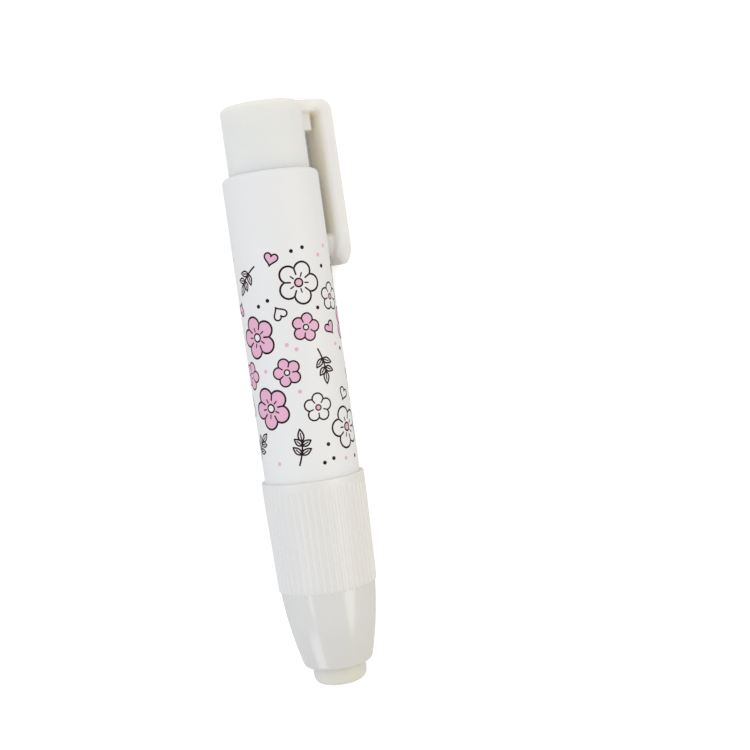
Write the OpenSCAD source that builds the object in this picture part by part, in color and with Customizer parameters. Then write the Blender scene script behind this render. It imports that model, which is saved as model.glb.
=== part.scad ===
// Push-button eraser holder with a pocket clip, lying at rest on its collar and clip.
// Stations are measured in millimetres along the axis, from the eraser's tip towards the cap.

/* [Overall] */
// Station of the eraser's tip
tip_s = 0.35; // [0.1:0.05:0.6]
// Station of the clip's bridge, the far end of the holder
top_s = 122.25; // [122.1:0.05:122.8]
// Segments of round shapes
facets = 96; // [48:8:160]

/* [Eraser stick] */
// Diameter of the round stick
eraser_d = 11.3; // [10.8:0.1:11.4]
// Length of the stick
eraser_len = 78; // [40:1:90]
// Rounding of its worn tip
eraser_round = 1.95; // [0.6:0.05:3]
// How far the stick stands out of the nose
eraser_out = 4.1; // [4.1:0.1:4.5]

/* [Barrel] */
// Outside diameter of the barrel
barrel_d = 20; // [19.6:0.1:20.4]
// Inside diameter of the barrel
barrel_bore_d = 17.4; // [17.4:0.1:17.6]
// Station of the barrel's front edge
barrel_front = 44.2; // [44:0.1:44.6]
// Station of the barrel's rear rim
barrel_rear = 107.6; // [106:0.1:108]
// Rounding of the rear rim
rim_round = 1.2; // [0.4:0.1:1.2]

/* [Grip and nose] */
// Diameter of the plain collar behind the ribs
collar_d = 21.56; // [21.3:0.02:21.8]
// Length of the plain collar
collar_len = 2.2; // [1.6:0.1:3.4]
// Station where the ribs end and the smooth nose begins
rib_front = 20.9; // [20.8:0.1:22]
// Number of grip ribs
rib_count = 46; // [30:1:50]
// Width of one rib
rib_w = 0.56; // [0.4:0.02:0.9]
// Depth of the grooves between the ribs at their rear end
rib_h = 0.18; // [0.1:0.02:0.4]
// Rounding of the nose's front rim
nose_round = 1.05; // [0.8:0.05:1.6]
// Radius of the nose's curved flank
nose_sweep = 80; // [76:0.5:86]

/* [Push cap and clip] */
// Outside diameter of the push cap
cap_d = 16.8; // [16.6:0.1:16.8]
// Station of the cap's flat end
cap_s = 121.8; // [121.5:0.05:122.1]
// Rounding of the cap's end edge
cap_round = 1.1; // [0.4:0.1:1.5]
// Outer reach of the clip from the axis
clip_ro = 15.4; // [15.2:0.05:15.6]
// Thickness of the clip's arm
clip_t = 3.4; // [3:0.05:3.6]
// Width of the clip
clip_w = 7.6; // [7:0.1:8]
// Rounding of the clip's long edges
clip_edge = 1.3; // [0.8:0.1:1.4]
// Rounding of the free end's corners, seen from outside
clip_corner = 3.2; // [1:0.1:3.2]
// Station of the clip's free end
clip_end = 87.1; // [85:0.05:88]
// Thickness of the bridge that joins cap and clip
bridge_t = 2.65; // [2.2:0.05:3]
// Gap between the clip's foot and the barrel
foot_gap = 0.3; // [0.2:0.05:0.6]
// Width of the clip's foot
foot_w = 4.6; // [4:0.1:6]
// Push button stroke
stroke = 6; // [4:0.5:6]

/* [Clutch] */
// Front face of the chuck
chuck_front = 15.2; // [15.2:0.1:15.6]
// Width of the slots between the jaws
slot_w = 1.0; // [0.6:0.1:1.4]
// Length of the slots
slot_len = 20.8; // [14:0.2:24]
// Travel of the clutch ring
ring_travel = 1.5; // [1:0.1:1.5]

/* [Return spring] */
// Wire diameter
wire_d = 0.5; // [0.4:0.05:0.6]
// Mean coil diameter
coil_d = 14.4; // [14.3:0.1:14.5]
// Number of coils
coils = 7; // [5:1:10]

/* [Hidden] */
$fn = facets;

// derived radii
er = eraser_d / 2;
br = barrel_d / 2;
bb = barrel_bore_d / 2;
cr = collar_d / 2;
cap_r = cap_d / 2;
clip_ri = clip_ro - clip_t;
foot_r = br + foot_gap;

// stations
nose_s = tip_s + eraser_out;    // front rim of the nose
collar_s = barrel_front - collar_len;
chuck_rear = 48;
seat_front = 24.2;              // front seat of the spring
seat_rear = 42;                 // rear seat of the spring
conn_front = 20.5;
conn_rear = 56;
tube_rear = 119;
cap_front = 97;
cavity_s = chuck_front - stroke - 0.8;  // room for the jaws at full stroke
shoulder_s = 16.2 - ring_travel;        // stop of the clutch ring

// the flank of the nose is one arc that runs on under the ribs' front ends
flank_s = 26.3;
flank_r = 10.15;
root_s = 24.9;
function flank(s) = flank_r - nose_sweep + sqrt(pow(nose_sweep, 2) - pow(flank_s - s, 2));

// radii of the rib crests: at their front end, and where they level out
crest_front = 10.34;
crest_rear = cr - 0.02;
crest_s = 40;

// the axis lies one collar radius above the table, and the clip leans down until its edge touches
edge_x = clip_ro - clip_edge;
edge_y = clip_w / 2 - clip_edge;
lean = asin((cr - clip_edge) / sqrt(pow(edge_x, 2) + pow(edge_y, 2))) - atan(edge_y / edge_x);
x_right = edge_x * cos(lean) + edge_y * sin(lean) + clip_edge;

// from the construction axis (+Z, clip towards +X) to the resting place
module lay() {
    translate([-(x_right - cr) / 2, -(tip_s + top_s) / 2, cr])
        rotate([0, lean, 0]) rotate([-90, 0, 0]) children();
}

// a solid round bar between two stations
module bar(r, s0, s1) {
    translate([0, 0, s0]) cylinder(r = r, h = s1 - s0);
}

// what a rounding of radius r takes off a corner at [x, y] that points to +x, +y
module corner_cut(x, y, r, dx = 1, dy = 1) {
    translate([x, y]) mirror([dx < 0 ? 1 : 0, 0]) mirror([0, dy < 0 ? 1 : 0])
        difference() {
            translate([-r, -r]) square([r + 0.5, r + 0.5]);
            translate([-r, -r]) circle(r = r);
        }
}

// a rectangle with round corners
module plate(x0, x1, y0, y1, r) {
    translate([x0 + r, y0]) square([x1 - x0 - 2 * r, y1 - y0]);
    translate([x0, y0 + r]) square([x1 - x0, y1 - y0 - 2 * r]);
    for (x = [x0 + r, x1 - r], y = [y0 + r, y1 - r]) translate([x, y]) circle(r = r);
}

// barrel: thin tube with a rounded rear rim and a wider seat for the connector in front
module barrel() {
    color([0.93, 0.93, 0.93]) lay()
        rotate_extrude() difference() {
            translate([bb, barrel_front]) square([br - bb, barrel_rear - barrel_front]);
            corner_cut(br, barrel_rear, rim_round);
            translate([bb - 1, barrel_front - 1]) square([1.2, conn_rear - barrel_front + 1.3]);
            // small lead-in inside the rear rim
            polygon([[bb - 0.1, barrel_rear - 0.3], [bb + 0.2, barrel_rear + 0.1], [bb - 0.1, barrel_rear + 0.1]]);
        }
}

// outline of nose, rib roots and collar, from the axis outwards
module grip_outline() {
    difference() {
        union() {
            // nose
            intersection() {
                translate([0, nose_s]) square([flank_r, rib_front - nose_s + 0.01]);
                translate([flank_r - nose_sweep, flank_s]) circle(r = nose_sweep, $fn = 4 * facets);
            }
            // rib roots
            polygon([[0, rib_front], [flank(rib_front), rib_front], [flank(root_s), root_s],
                     [cr - rib_h, collar_s + 0.01], [0, collar_s + 0.01]]);
            // collar
            translate([0, collar_s]) square([cr, collar_len]);
        }
        corner_cut(cr, barrel_front, 0.16);
        corner_cut(flank(nose_s + nose_round), nose_s, nose_round, 1, -1);
    }
}

// the ribs, with rounded front ends
module ribs() {
    intersection() {
        rotate_extrude() difference() {
            polygon([[9.3, rib_front], [crest_front, rib_front], [crest_rear, crest_s],
                     [crest_rear, collar_s + 0.3], [9.3, collar_s + 0.3]]);
            corner_cut(crest_front, rib_front, 0.6, 1, -1);
        }
        translate([0, 0, rib_front - 0.5])
            linear_extrude(height = collar_s - rib_front + 1)
                for (i = [0 : rib_count - 1]) rotate(i * 360 / rib_count - 90.764 - lean)
                    translate([9, -rib_w / 2]) square([2.5, rib_w]);
    }
}

module grip_nose() {
    color([0.90, 0.90, 0.87]) lay()
        difference() {
            union() {
                rotate_extrude() grip_outline();
                ribs();
            }
            bar(er + 0.2, nose_s - 1, 7);
            bar(7.0, 6.4, cavity_s + 0.1);
            bar(7.5, cavity_s, shoulder_s + 0.1);
            bar(8.4, shoulder_s, conn_front + 0.1);
            bar(9.0, conn_front, barrel_front + 1);
        }
}

// connector: threaded bush between grip and barrel, spring chamber inside
module connector() {
    color([0.86, 0.86, 0.84]) lay()
        rotate_extrude() difference() {
            union() {
                translate([6.6, conn_front]) square([8.98 - 6.6, barrel_front - conn_front]);
                translate([6.6, barrel_front - 0.01]) square([8.88 - 6.6, conn_rear - barrel_front + 0.01]);
            }
            translate([0, seat_front]) square([7.85, conn_rear]);
            // thread, drawn as ring grooves
            for (k = [0 : 7]) translate([8.98, 27 + 1.5 * k])
                polygon([[0.1, -0.5], [-0.45, 0], [0.1, 0.5]]);
            corner_cut(8.98, conn_front, 0.4, 1, -1);
        }
}

// rubber ring that brakes the stick in the nose
module retainer_ring() {
    color([0.35, 0.35, 0.36]) lay()
        rotate_extrude() difference() {
            translate([er + 0.1, 6.5]) square([6.95 - er - 0.1, 1.8]);
            corner_cut(er + 0.1, 6.5, 0.35, -1, -1);
            corner_cut(er + 0.1, 8.3, 0.35, -1, 1);
        }
}

// clutch ring: pocket for the jaws' heads in front, guide for the shank behind
module clutch_ring() {
    color([0.55, 0.70, 0.80]) lay()
        rotate_extrude() difference() {
            translate([6.6, 16.3]) square([1.6, 4]);
            translate([6, 15]) square([1.15, 3.45]);
            corner_cut(8.2, 16.3, 0.3, 1, -1);
            corner_cut(8.2, 20.3, 0.3, 1, 1);
        }
}

// chuck: slotted sleeve whose three jaws grip the stick
module chuck() {
    color([0.80, 0.84, 0.88]) lay()
        difference() {
            rotate_extrude()
                polygon([[er + 0.07, chuck_front], [6.75, chuck_front], [7.05, chuck_front + 0.4],
                         [7.05, 17.9], [6.5, 18.3], [6.5, chuck_rear], [er + 0.07, chuck_rear]]);
            for (i = [0 : 2]) rotate(60 + i * 120)
                translate([3, -slot_w / 2, chuck_front - 1]) cube([6, slot_w, slot_len + 1]);
        }
}

// reservoir tube: spring flange and chuck socket in front, snap bead behind
module eraser_tube() {
    color([0.88, 0.90, 0.90]) lay()
        rotate_extrude() union() {
            translate([6.52, seat_rear]) square([7.7 - 6.52, 1]);
            translate([6.52, seat_rear]) square([7.25 - 6.52, chuck_rear - seat_rear + 0.1]);
            polygon([[6.0, chuck_rear + 0.05], [7.25, chuck_rear + 0.05], [7.25, 50], [6.8, 51],
                     [6.8, tube_rear - 0.4], [6.5, tube_rear], [6.0, tube_rear]]);
            polygon([[6.7, 113.8], [7.05, 114.3], [7.05, 114.9], [6.7, 115.3]]);
        }
}

// return spring: closed end coils, swept wire
spring_steps = 18;
spring_sides = 8;
spring_n = spring_steps * coils;
spring_len = seat_rear - seat_front - 0.1 - wire_d;
// the pitch is small over the first and last coil
function ease(t) = let (e = 1 / coils) t < e ? 0.25 * t
    : t > 1 - e ? 1 - 0.25 * (1 - t)
    : 0.25 * e + (t - e) * (1 - 0.5 * e) / (1 - 2 * e);
function wire_point(i, j) =
    let (t = i / spring_n, a = 360 * coils * t, b = 360 * j / spring_sides,
         r = coil_d / 2 + wire_d / 2 * cos(b))
    [r * cos(a), r * sin(a), seat_front + 0.05 + wire_d / 2 + spring_len * ease(t) + wire_d / 2 * sin(b)];
module return_spring() {
    color([0.62, 0.63, 0.65]) lay()
        polyhedron(
            points = [for (i = [0 : spring_n], j = [0 : spring_sides - 1]) wire_point(i, j)],
            faces = concat(
                [[for (j = [0 : spring_sides - 1]) j]],
                [[for (j = [spring_sides - 1 : -1 : 0]) spring_n * spring_sides + j]],
                [for (i = [0 : spring_n - 1], j = [0 : spring_sides - 1])
                    let (a = i * spring_sides + j, b = i * spring_sides + (j + 1) % spring_sides,
                         c = a + spring_sides, d = b + spring_sides)
                    [a, c, b]],
                [for (i = [0 : spring_n - 1], j = [0 : spring_sides - 1])
                    let (a = i * spring_sides + j, b = i * spring_sides + (j + 1) % spring_sides,
                         c = a + spring_sides, d = b + spring_sides)
                    [b, c, d]]),
            convexity = 10);
}

// side outline of the clip: bridge and arm
module clip_side() {
    difference() {
        union() {
            translate([7, top_s - bridge_t]) square([clip_ro - 7, bridge_t]);
            translate([clip_ri, clip_end]) square([clip_t, top_s - clip_end]);
        }
        corner_cut(clip_ro, top_s, 2.6);
        corner_cut(clip_ro, clip_end, 2, 1, -1);
        corner_cut(clip_ri, clip_end, 1, -1, -1);
    }
}

// outline of the clip seen from outside
module clip_front() {
    difference() {
        translate([-clip_w / 2, clip_end]) square([clip_w, top_s - clip_end]);
        for (d = [-1, 1]) {
            corner_cut(d * clip_w / 2, top_s, 0.9, d, 1);
            corner_cut(d * clip_w / 2, clip_end, clip_corner, d, -1);
        }
    }
}

// clip: arm and bridge with rounded edges, and the foot that rides on the barrel
module clip() {
    foot_s = clip_end + 0.7;
    foot_len = 6.1;
    intersection() {
        translate([0, 5, 0]) rotate([90, 0, 0]) linear_extrude(height = 10) clip_side();
        translate([5, 0, 0]) rotate([90, 0, 90]) linear_extrude(height = 12) clip_front();
        union() {
            translate([0, 0, clip_end - 1]) linear_extrude(height = top_s - clip_end + 2)
                plate(clip_ri, clip_ro, -clip_w / 2, clip_w / 2, clip_edge);
            translate([6, 0, 0]) rotate([90, 0, 90]) linear_extrude(height = clip_ro - clip_edge - 6)
                plate(-clip_w / 2, clip_w / 2, top_s - bridge_t, top_s, 0.9);
        }
    }
    // foot
    intersection() {
        translate([0, 5, 0]) rotate([90, 0, 0]) linear_extrude(height = 10) difference() {
            translate([foot_r, foot_s]) square([clip_ri + 1 - foot_r, foot_len]);
            corner_cut(foot_r, foot_s, 1.9, -1, -1);
            corner_cut(foot_r, foot_s + foot_len, 1.5, -1, 1);
        }
        translate([0, 0, foot_s - 1]) linear_extrude(height = foot_len + 2)
            plate(foot_r, clip_ri + 2.4, -foot_w / 2, foot_w / 2, 1.2);
    }
}

// push cap: button with its clip, bored to turn on the reservoir tube
module push_cap() {
    color([0.92, 0.92, 0.91]) lay()
        difference() {
            union() {
                rotate_extrude() difference() {
                    translate([0, cap_front]) square([cap_r, cap_s - cap_front]);
                    corner_cut(cap_r, cap_s, cap_round);
                    corner_cut(cap_r, cap_front, 0.4, 1, -1);
                }
                clip();
                // root pad under the bridge
                translate([0, 0, 116]) linear_extrude(height = top_s - bridge_t - 115.9)
                    plate(5, 10, -2.4, 2.4, 1.1);
            }
            bar(7.3, cap_front - 1, 110);
            bar(6.87, 109, cap_s - 1.5);
            bar(7.12, 113.6, 115.5);
        }
}

// round eraser stick with a worn, rounded tip
module eraser_stick() {
    color([0.84, 0.83, 0.78]) lay()
        rotate_extrude() difference() {
            translate([0, tip_s]) square([er, eraser_len]);
            corner_cut(er, tip_s, eraser_round, 1, -1);
            corner_cut(er, tip_s + eraser_len, 0.4, 1, 1);
        }
}

barrel();
grip_nose();
connector();
retainer_ring();
clutch_ring();
chuck();
eraser_tube();
return_spring();
push_cap();
eraser_stick();
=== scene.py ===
"""Push-button eraser holder with a pocket clip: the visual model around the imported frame."""

import math
import random

import bmesh
import bpy
import numpy as np
from mathutils import Vector, Matrix
from mathutils.geometry import delaunay_2d_cdt


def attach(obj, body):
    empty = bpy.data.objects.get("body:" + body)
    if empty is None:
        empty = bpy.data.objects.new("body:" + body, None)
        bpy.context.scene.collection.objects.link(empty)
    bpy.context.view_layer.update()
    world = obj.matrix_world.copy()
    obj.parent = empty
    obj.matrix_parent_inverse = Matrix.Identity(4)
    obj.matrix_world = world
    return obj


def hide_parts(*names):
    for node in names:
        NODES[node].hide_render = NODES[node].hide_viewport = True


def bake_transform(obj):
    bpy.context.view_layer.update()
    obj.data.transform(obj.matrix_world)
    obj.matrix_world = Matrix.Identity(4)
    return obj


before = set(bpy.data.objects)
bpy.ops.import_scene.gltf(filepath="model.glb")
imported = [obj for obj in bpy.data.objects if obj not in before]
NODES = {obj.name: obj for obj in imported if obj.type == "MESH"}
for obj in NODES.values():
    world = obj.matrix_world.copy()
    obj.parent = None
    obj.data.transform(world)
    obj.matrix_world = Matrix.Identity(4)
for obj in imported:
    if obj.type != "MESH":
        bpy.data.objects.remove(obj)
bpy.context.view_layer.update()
MM = 0.001

# stations of the two ends, from the front
TIP, TOP = 0.35, 122.25
MID = (TIP + TOP) / 2
# the collar the holder rests on, and the clip's outer face, width and edge rounding
COLLAR_R, CLIP_RO, CLIP_W, CLIP_EDGE = 10.78, 15.4, 7.6, 1.3
LEAN = (math.asin((COLLAR_R - CLIP_EDGE) / math.hypot(CLIP_RO - CLIP_EDGE, CLIP_W / 2 - CLIP_EDGE))
        - math.atan2(CLIP_W / 2 - CLIP_EDGE, CLIP_RO - CLIP_EDGE))
RIGHT = (CLIP_RO - CLIP_EDGE) * math.cos(LEAN) + (CLIP_W / 2 - CLIP_EDGE) * math.sin(LEAN) + CLIP_EDGE
# the axis of the holder in the row frame, in millimetres
AX, AZ = -(RIGHT - COLLAR_R) / 2, COLLAR_R
# direction of the clip round the axis, from straight up towards +X
CLIP = math.pi / 2 + LEAN


# ------------------------------------------------------------------ camera
def make_camera():
    """Looks down on the holder from 277 mm, pitched 3.2 degrees, the holder rolled 7.9 degrees in the picture."""
    focal = 1321.0
    depth = focal / 4.77
    pitch, roll = math.radians(3.20), math.radians(7.93)
    c, s = math.cos(pitch), math.sin(pitch)
    right, up, fwd = Vector((1, 0, 0)), Vector((0, c, -s)), Vector((0, -s, -c))
    x = (312.52 - 375) / focal * depth
    y = -(475.70 - 375) / focal * depth
    pos = -(depth * fwd + x * right + y * up)

    def turned(v):
        cr, sr = math.cos(roll), math.sin(roll)
        return Vector((v.x * cr + v.y * sr, -v.x * sr + v.y * cr, v.z))

    pos = (turned(pos) + Vector((AX, 44.2 - MID, AZ))) * MM
    r, u, b = turned(right), turned(up), -turned(fwd)
    cam = bpy.data.objects.new("camera", bpy.data.cameras.new("camera"))
    cam.data.sensor_width = 36.0
    cam.data.lens = focal / 750 * 36.0
    cam.data.clip_start, cam.data.clip_end = 0.01, 20.0
    cam.matrix_world = Matrix((
        (r.x, u.x, b.x, pos.x), (r.y, u.y, b.y, pos.y), (r.z, u.z, b.z, pos.z), (0, 0, 0, 1)))
    bpy.context.scene.collection.objects.link(cam)
    bpy.context.scene.camera = cam


make_camera()


# ------------------------------------------------------------------ meshes
def place(r, phi, s):
    """Cylinder coordinates in millimetres to the row frame in millimetres."""
    r, phi, s = np.broadcast_arrays(r, phi, s)
    return np.stack([AX + r * np.sin(phi), s - MID, AZ + r * np.cos(phi)], -1)


def facing(nr, phi, ns):
    nr, phi, ns = np.broadcast_arrays(nr, phi, ns)
    return np.stack([nr * np.sin(phi), ns, nr * np.cos(phi)], -1)


class Soup:
    """Faces with a normal for each corner, welded into one closed mesh at the end."""

    def __init__(self):
        self.parts = []

    def faces(self, pos, nor, mat=0):
        """pos and nor are (faces, corners, 3); mat is one number or one for each face."""
        mats = np.full(len(pos), mat) if np.isscalar(mat) else np.asarray(mat)
        self.parts.append((pos, nor, mats))

    def grid(self, pos, nor, mat=0, wrap=True):
        """A grid of quads, rows along the axis and columns round it."""
        if wrap:
            pos = np.concatenate([pos, pos[:, :1]], 1)
            nor = np.concatenate([nor, nor[:, :1]], 1)

        def quads(a):
            return np.stack([a[:-1, :-1], a[:-1, 1:], a[1:, 1:], a[1:, :-1]], 2).reshape(-1, 4, 3)

        self.faces(quads(pos), quads(nor), mat)

    def lathe(self, profile, phis, mat=0):
        """profile holds strips of (radius, station, normal's radial part, normal's axial part)."""
        for strip in profile:
            a = np.asarray(strip, float)
            pos = place(a[:, 0:1], phis[None, :], a[:, 1:2])
            nor = facing(a[:, 2:3], phis[None, :], a[:, 3:4])
            self.grid(pos, nor, mat)

    def mesh(self, name, materials, analytic=True, angle=35):
        allp = np.concatenate([p.reshape(-1, 3) for p, _, _ in self.parts])
        key = np.round(allp / 0.00001).astype(np.int64)
        _, first, inv = np.unique(key, axis=0, return_index=True, return_inverse=True)
        inv = inv.reshape(-1)
        # weld what lies within a third of a micron
        bm = bmesh.new()
        for p in allp[first].tolist():
            bm.verts.new(p)
        bm.verts.index_update()
        bm.verts.ensure_lookup_table()
        to = np.arange(len(first))
        for a, b in bmesh.ops.find_doubles(bm, verts=bm.verts, dist=0.0003)["targetmap"].items():
            to[a.index] = b.index
        bm.free()
        used, inv = np.unique(to[inv], return_inverse=True)
        inv = inv.reshape(-1)
        verts = allp[first][used] * MM
        faces, normals, mats, at = [], [], [], 0
        for pos, nor, mat in self.parts:
            k = pos.shape[1]
            ids = inv[at:at + len(pos) * k].reshape(-1, k)
            at += len(pos) * k
            same = ids == np.roll(ids, 1, axis=1)
            whole = ~same.any(1)
            faces += ids[whole].tolist()
            normals.append(nor[whole].reshape(-1, 3))
            mats.append(mat[whole])
            for i in np.nonzero(~whole)[0]:
                keep = [j for j in range(k) if not same[i, j]]
                if len(set(ids[i, keep].tolist())) >= 3:
                    faces.append(ids[i, keep].tolist())
                    normals.append(nor[i, keep])
                    mats.append(mat[i:i + 1])
        me = bpy.data.meshes.new(name)
        me.from_pydata(verts.tolist(), [], faces)
        me.shade_smooth()
        for m in materials:
            me.materials.append(m)
        me.polygons.foreach_set("material_index", np.concatenate(mats).astype(np.int32))
        if analytic:
            n = np.concatenate(normals)
            n /= np.maximum(np.linalg.norm(n, axis=1, keepdims=True), 1e-12)
            me.normals_split_custom_set(n.tolist())
        else:
            me.set_sharp_from_angle(angle=math.radians(angle))
        me.update()
        ob = bpy.data.objects.new(name, me)
        bpy.context.scene.collection.objects.link(ob)
        return ob


def line(p, q, n=1):
    """A straight strip of a lathe profile, its outside to the right of the way from p to q seen with +s up."""
    p, q = np.array(p, float), np.array(q, float)
    t = (q - p) / np.linalg.norm(q - p)
    at = p + (q - p) * np.linspace(0, 1, n + 1)[:, None]
    return np.hstack([at, np.tile([t[1], -t[0]], (n + 1, 1))])


def arc(c, rad, a0, a1, n):
    a = np.radians(np.linspace(a0, a1, n + 1))
    d = np.stack([np.cos(a), np.sin(a)], 1)
    return np.hstack([np.array(c) + rad * d, d * (1 if a1 > a0 else -1)])


def turns(n, start=0.0):
    return start + np.arange(n) * 2 * math.pi / n


# ------------------------------------------------------------------ materials
class Nodes:
    """A material's node tree with short calls."""

    def __init__(self, name):
        self.mat = bpy.data.materials.new(name)
        self.mat.use_nodes = True
        self.t = self.mat.node_tree
        self.bsdf = next(n for n in self.t.nodes if n.type == "BSDF_PRINCIPLED")
        self.coord = self.t.nodes.new("ShaderNodeTexCoord").outputs["Object"]

    def new(self, kind, **values):
        n = self.t.nodes.new(kind)
        for k, v in values.items():
            setattr(n, k, v)
        return n

    def link(self, a, b):
        self.t.links.new(a, b)

    def noise(self, scale, detail=3.0, rough=0.5, coord=None, stretch=None):
        n = self.new("ShaderNodeTexNoise")
        n.inputs["Scale"].default_value = scale
        n.inputs["Detail"].default_value = detail
        n.inputs["Roughness"].default_value = rough
        src = coord or self.coord
        if stretch:
            m = self.new("ShaderNodeMapping")
            m.inputs["Scale"].default_value = stretch
            self.link(src, m.inputs["Vector"])
            src = m.outputs["Vector"]
        self.link(src, n.inputs["Vector"])
        return n.outputs["Fac"]

    def ramp(self, fac, stops):
        n = self.new("ShaderNodeValToRGB")
        e = n.color_ramp.elements
        while len(e) < len(stops):
            e.new(0.5)
        for el, (p, c) in zip(e, stops):
            el.position = p
            el.color = (*c, 1)
        self.link(fac, n.inputs["Fac"])
        return n.outputs["Color"]

    def remap(self, v, a, b, c, d):
        n = self.new("ShaderNodeMapRange")
        for k, x in zip(("From Min", "From Max", "To Min", "To Max"), (a, b, c, d)):
            n.inputs[k].default_value = x
        self.link(v, n.inputs["Value"])
        return n.outputs["Result"]

    def math(self, op, a, b=None):
        n = self.new("ShaderNodeMath", operation=op)
        for i, x in enumerate((a, b)):
            if x is None:
                continue
            if isinstance(x, (int, float)):
                n.inputs[i].default_value = x
            else:
                self.link(x, n.inputs[i])
        return n.outputs[0]

    def mix(self, fac, a, b, blend="MIX"):
        n = self.new("ShaderNodeMix", data_type="RGBA", blend_type=blend)
        for i, x in ((0, fac), (6, a), (7, b)):
            if isinstance(x, (int, float)):
                n.inputs[i].default_value = x
            elif isinstance(x, tuple):
                n.inputs[i].default_value = (*x, 1)
            else:
                self.link(x, n.inputs[i])
        return n.outputs[2]

    def bump(self, height, strength, distance, normal=None):
        n = self.new("ShaderNodeBump")
        n.inputs["Strength"].default_value = strength
        n.inputs["Distance"].default_value = distance
        self.link(height, n.inputs["Height"])
        if normal is not None:
            self.link(normal, n.inputs["Normal"])
        return n.outputs["Normal"]

    def axial(self):
        """The station along the holder in millimetres."""
        n = self.new("ShaderNodeSeparateXYZ")
        self.link(self.coord, n.inputs[0])
        return self.math("ADD", self.math("MULTIPLY", n.outputs["Y"], 1000.0), MID)

    def across(self, half):
        """0 to 1 over that many millimetres to either side of the holder's axis."""
        n = self.new("ShaderNodeSeparateXYZ")
        self.link(self.coord, n.inputs[0])
        return self.remap(n.outputs["X"], (AX - half) * MM, (AX + half) * MM, 0.0, 1.0)

    def set(self, **values):
        for k, v in values.items():
            sock = self.bsdf.inputs[k.replace("_", " ")]
            if isinstance(v, (int, float)):
                sock.default_value = v
            elif isinstance(v, tuple):
                sock.default_value = v if len(v) == len(sock.default_value) else (*v, 1)
            else:
                self.link(v, sock)


def tint(c, k, shift=(0, 0, 0)):
    return tuple(max(0.0, x * k + d) for x, d in zip(c, shift))


def moulded(name, base, rough, spread=0.012, sss=0.0, sss_scale=0.0012, sss_radius=(1.0, 0.8, 0.6),
            grain=0.25, grain_depth=0.000004, wave=0.00001, ior=1.5, smudge=0.05, **more):
    """Injection-moulded plastic: soft clouds in the colour, a fine skin, faint flow waves and handling smudges."""
    m = Nodes(name)
    clouds = m.noise(110, 2.5)
    m.set(Base_Color=m.ramp(clouds, [(0.30, tint(base, 1 - spread, (0, 0, -spread * 0.3))),
                                     (0.70, tint(base, 1 + spread * 0.7))]))
    smears = m.noise(260, 4, 0.6, stretch=(1, 0.35, 1))
    m.set(Roughness=m.remap(smears, 0.35, 0.65, rough - smudge * 0.5, rough + smudge * 0.5))
    fine = m.noise(1 / (grain * MM), 2.0)
    broad = m.noise(170, 1.5, stretch=(1, 0.5, 1))
    n1 = m.bump(fine, 1.0, grain_depth)
    m.set(Normal=m.bump(broad, 1.0, wave, n1))
    m.set(IOR=ior, Subsurface_Weight=sss, Subsurface_Scale=sss_scale, Subsurface_Radius=sss_radius, **more)
    return m


SLOT = {}
barrel_white = moulded("barrel_white", (0.800, 0.801, 0.803), 0.55, spread=0.006, grain=0.5,
                       grain_depth=0.000002, wave=0.000008, Specular_IOR_Level=0.36).mat


def make_grip():
    """A glossy nose, greyer with painted shade that deepens towards its tip, running into the finely textured, paler
    ribbed part; a painted tint makes it all cooler on the -X side and warmer on the +X side.
    """
    m = Nodes("grip_white")
    station = m.axial()
    ribbed = m.remap(station, 20.7, 21.7, 0.0, 1.0)
    clouds = m.noise(110, 2.5)
    pale = m.ramp(clouds, [(0.30, (0.757, 0.750, 0.732)), (0.70, (0.769, 0.762, 0.745))])
    # painted shade: the nose is greyer than the ribbed part and darker still towards its tip
    shaded_nose_grey = m.ramp(clouds, [(0.30, (0.692, 0.684, 0.665)), (0.70, (0.703, 0.696, 0.677))])
    low = m.ramp(clouds, [(0.30, (0.652, 0.642, 0.616)), (0.70, (0.663, 0.654, 0.628))])
    nose = m.mix(m.remap(station, 4.5, 15.0, 0.0, 1.0), low, shaded_nose_grey)
    # painted light: a tint cooler on the -X side and warmer on the +X side
    painted_side_tint = m.ramp(m.across(10.5), [(0.0, (1.0, 1.013, 1.037)), (1.0, (1.002, 0.990, 0.966))])
    m.set(Base_Color=m.mix(1.0, m.mix(ribbed, nose, pale), painted_side_tint, "MULTIPLY"))
    smears = m.noise(260, 4, 0.6, stretch=(1, 0.35, 1))
    gloss = m.remap(smears, 0.35, 0.65, 0.13, 0.18)
    matt = m.remap(smears, 0.35, 0.65, 0.36, 0.42)
    blend = m.math("ADD", m.math("MULTIPLY", gloss, m.math("SUBTRACT", 1.0, ribbed)), m.math("MULTIPLY", matt, ribbed))
    m.set(Roughness=blend)
    skin = m.bump(m.noise(3800, 2.0), 1.0, 0.000002)
    m.set(Normal=m.bump(m.noise(170, 1.5, stretch=(1, 0.5, 1)), 1.0, 0.000008, skin))
    m.set(IOR=1.5, Subsurface_Weight=0.12, Subsurface_Scale=0.0012, Subsurface_Radius=(1.0, 0.8, 0.6))
    return m.mat


grip_white = make_grip()


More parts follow.
